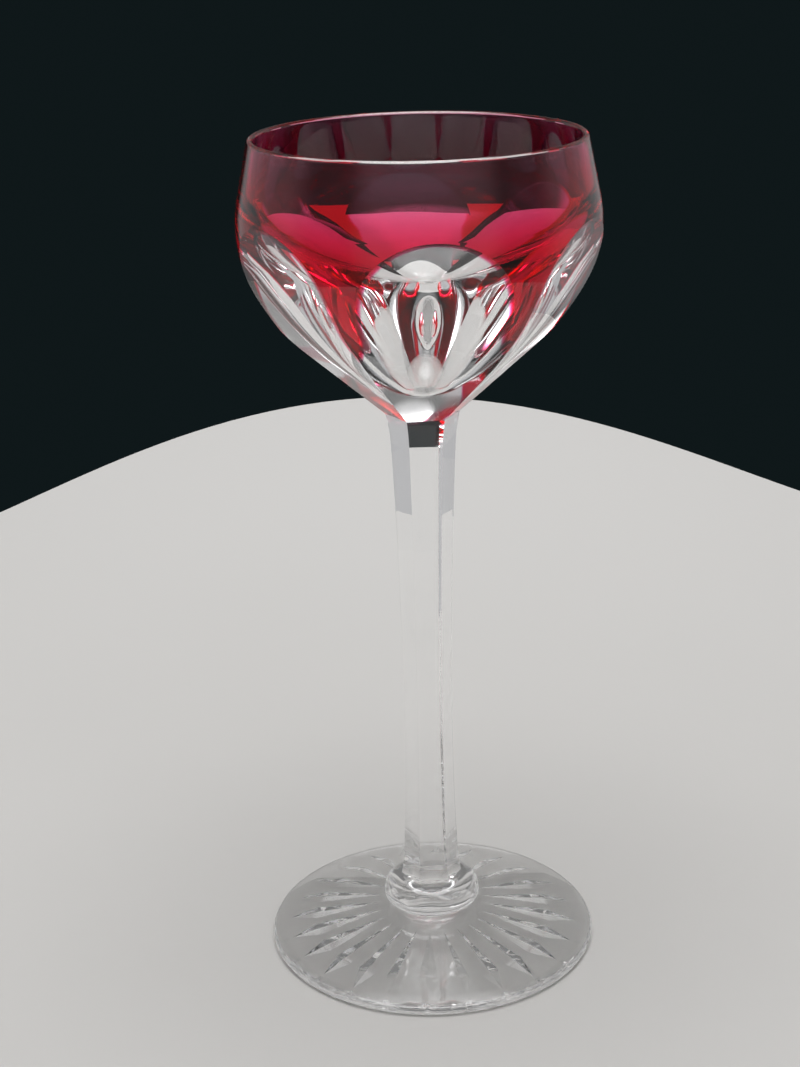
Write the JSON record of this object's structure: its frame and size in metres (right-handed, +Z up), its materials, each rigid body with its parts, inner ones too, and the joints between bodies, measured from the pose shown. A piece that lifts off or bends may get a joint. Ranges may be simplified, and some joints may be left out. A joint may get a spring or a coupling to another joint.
{
  "type": "roemer glass",
  "caption": "Cut crystal wine goblet: clear bowl cased in ruby and cut with arched panels, on a hexagonal stem, round button and star-cut foot.",
  "frame": {"origin": "centre of the foot's standing ring, on the table surface", "axes": "+Z up along the axis of the glass from the foot to the rim, -Y out of the middle of one cut panel"},
  "size_m": [0.078, 0.0776, 0.19],
  "materials": {
    "crystal": "polished clear crystal",
    "ruby": "polished transparent ruby"
  },
  "bodies": {
    "root": {"bowl": "crystal", "ruby_overlay": "ruby", "stem": "crystal", "button": "crystal", "foot": "crystal"}
  },
  "joints": []
}
